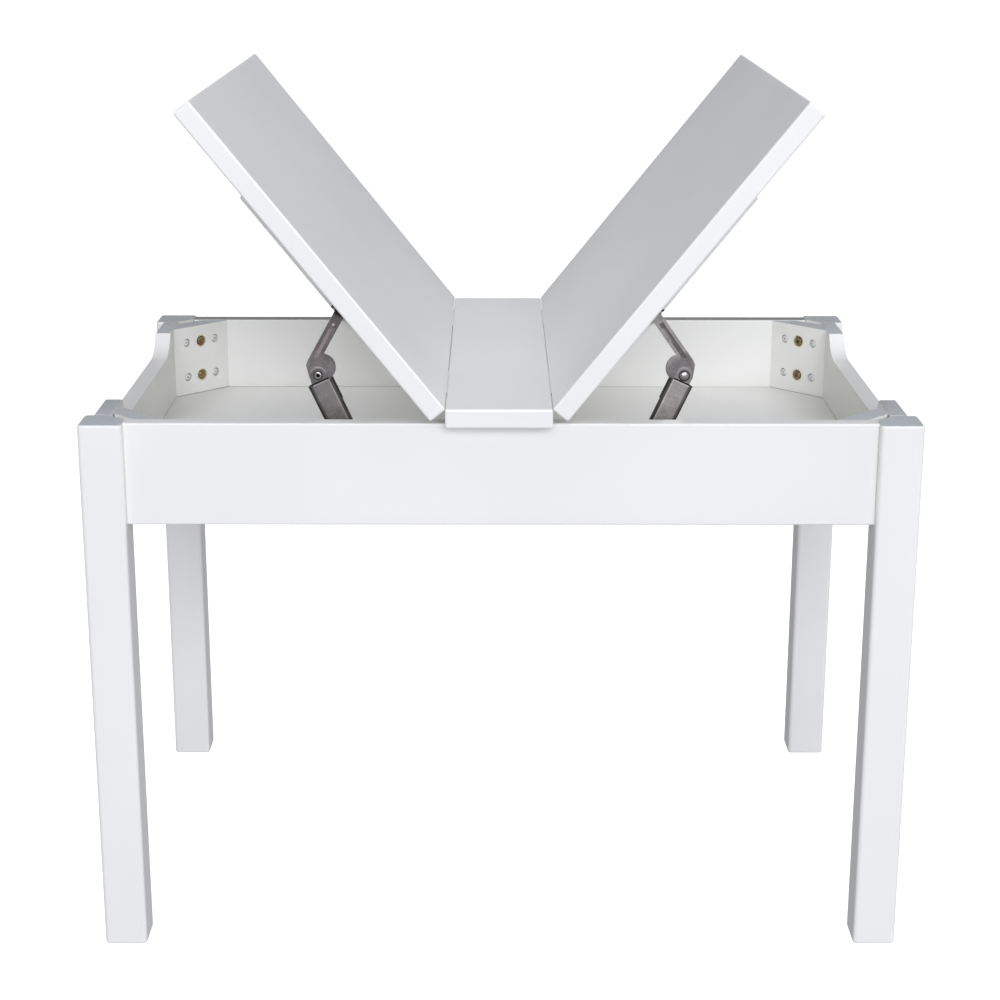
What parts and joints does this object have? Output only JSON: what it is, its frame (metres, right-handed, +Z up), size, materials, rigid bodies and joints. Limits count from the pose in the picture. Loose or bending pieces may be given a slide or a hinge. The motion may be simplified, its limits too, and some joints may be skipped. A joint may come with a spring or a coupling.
{
  "type": "lift-top end table",
  "caption": "White rectangular end table whose top opens as two hinged flaps beside a fixed centre strip, over a shallow tray, each flap held up by a folding lid stay.",
  "frame": {"origin": "on the floor, under the middle of the table", "axes": "+X along the table to the right as seen from the front, +Y to the back, +Z up"},
  "size_m": [0.877, 0.603, 0.9256],
  "materials": {
    "white_wood": "smooth satin white paint on solid wood",
    "stay_steel": "dull zinc-plated pressed steel",
    "yellow_zinc": "yellow zinc plate",
    "painted_screws": "steel painted over with the blocks",
    "zinc_steel": "bright zinc plate"
  },
  "bodies": {
    "frame": {"leg_front_left": "white_wood", "leg_front_right": "white_wood", "leg_rear_right": "white_wood", "leg_rear_left": "white_wood", "apron_front": "white_wood", "apron_back": "white_wood", "apron_left": "white_wood", "apron_right": "white_wood", "corner_block_front_left": "white_wood", "corner_block_front_right": "white_wood", "corner_block_rear_right": "white_wood", "corner_block_rear_left": "white_wood", "corner_bolts": "yellow_zinc", "corner_block_screws": "painted_screws", "tray_panel": "white_wood", "centre_strip": "white_wood", "strip_screws": "zinc_steel", "hinge_left_front_strip_leaf": "zinc_steel", "hinge_left_rear_strip_leaf": "zinc_steel", "hinge_pins_left": "zinc_steel", "stay_base_bracket_left": "stay_steel", "hinge_right_front_strip_leaf": "zinc_steel", "hinge_right_rear_strip_leaf": "zinc_steel", "hinge_pins_right": "zinc_steel", "stay_base_bracket_right": "stay_steel", "hinge_strip_screws": "zinc_steel", "stay_base_screws": "stay_steel"},
    "flap_left": {"flap_left": "white_wood", "batten_left_front": "white_wood", "batten_left_rear": "white_wood", "batten_screws_left": "zinc_steel", "hinge_left_front_flap_leaf": "zinc_steel", "hinge_left_rear_flap_leaf": "zinc_steel", "hinge_flap_screws_left": "zinc_steel", "stay_flap_bracket_left": "stay_steel", "stay_flap_pivot_left": "stay_steel", "stay_flap_screws_left": "stay_steel"},
    "arm_left": {"stay_arm_left": "stay_steel"},
    "channel_left": {"stay_channel_left": "stay_steel", "stay_knee_rivet_left": "stay_steel", "stay_base_pin_left": "stay_steel"},
    "flap_right": {"flap_right": "white_wood", "batten_right_front": "white_wood", "batten_right_rear": "white_wood", "batten_screws_right": "zinc_steel", "hinge_right_front_flap_leaf": "zinc_steel", "hinge_right_rear_flap_leaf": "zinc_steel", "hinge_flap_screws_right": "zinc_steel", "stay_flap_bracket_right": "stay_steel", "stay_flap_pivot_right": "stay_steel", "stay_flap_screws_right": "stay_steel"},
    "arm_right": {"stay_arm_right": "stay_steel"},
    "channel_right": {"stay_channel_right": "stay_steel", "stay_knee_rivet_right": "stay_steel", "stay_base_pin_right": "stay_steel"}
  },
  "joints": [
    {"name": "flap_left_hinge", "type": "hinge", "parent": "frame", "child": "flap_left", "pos_m": [-0.0585, 0, 0.6127], "axis": [0, 1, 0], "range_deg": [-51.2, 0]},
    {"name": "stay_left_flap_pivot", "type": "hinge", "parent": "flap_left", "child": "arm_left", "pos_m": [-0.16694, -0.219, 0.70336], "axis": [0, 1, 0], "range_deg": [0, 76.25]},
    {"name": "stay_left_knee", "type": "hinge", "parent": "arm_left", "child": "channel_left", "pos_m": [-0.19354, -0.219, 0.63217], "axis": [0, 1, 0], "range_deg": [-95.85, 0]},
    {"name": "flap_right_hinge", "type": "hinge", "parent": "frame", "child": "flap_right", "pos_m": [0.0537, 0, 0.6127], "axis": [0, -1, 0], "range_deg": [-51.2, 0]},
    {"name": "stay_right_flap_pivot", "type": "hinge", "parent": "flap_right", "child": "arm_right", "pos_m": [0.1595, -0.219, 0.70009], "axis": [0, -1, 0], "range_deg": [0, 81.48]},
    {"name": "stay_right_knee", "type": "hinge", "parent": "arm_right", "child": "channel_right", "pos_m": [0.19358, -0.219, 0.63215], "axis": [0, -1, 0], "range_deg": [-94.32, 0]}
  ],
  "couplings": [
    {"joint": "stay_left_flap_pivot", "follows": "flap_left_hinge", "ratio": -1.4892},
    {"joint": "stay_left_knee", "follows": "flap_left_hinge", "ratio": 1.8719},
    {"joint": "stay_right_flap_pivot", "follows": "flap_right_hinge", "ratio": -1.5913},
    {"joint": "stay_right_knee", "follows": "flap_right_hinge", "ratio": 1.842}
  ]
}
